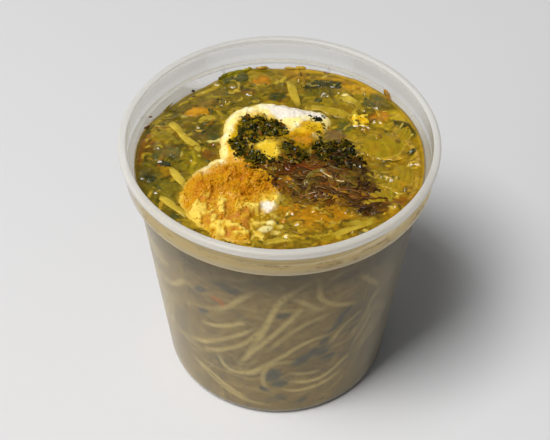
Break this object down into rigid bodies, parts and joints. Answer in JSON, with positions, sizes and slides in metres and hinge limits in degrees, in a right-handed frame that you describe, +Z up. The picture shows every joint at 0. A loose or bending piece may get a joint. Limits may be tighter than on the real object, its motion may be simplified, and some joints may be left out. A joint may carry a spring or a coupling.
{
  "type": "tub of noodle soup",
  "caption": "Round translucent plastic deli tub filled with thick herb and noodle soup, topped with whey cream, fried garlic, browned onions, dried mint and beans.",
  "frame": {"origin": "centre of the tub's flat base, on the surface it stands on", "axes": "+Z up along the tub's axis; -Y is the side facing the viewer, with the fried garlic to its left and the browned onions to its right"},
  "size_m": [0.117, 0.117, 0.1092],
  "materials": {
    "tub_plastic": "clear polypropylene with a milky haze, smooth and softly glossy",
    "soup_broth": "stands in for oily yellow-brown broth full of noodles and chopped herbs",
    "kashk_cream": "stands in for thick cream-coloured whey, yellow with oil at its edges",
    "garlic_fried": "stands in for finely chopped garlic fried golden orange",
    "onion_browned": "stands in for oily dark brown strands of fried onion",
    "onion_soft": "stands in for soft translucent yellow onion in oil",
    "bean_skin": "stands in for wet tan bean skin"
  },
  "bodies": {
    "root": {"tub": "tub_plastic", "soup": "soup_broth", "kashk": "kashk_cream", "garlic_heap": "garlic_fried", "onion_heap": "onion_browned", "onion_slice_1": "onion_soft", "onion_slice_2": "onion_soft", "bean_1": "bean_skin", "bean_2": "bean_skin"}
  },
  "joints": []
}
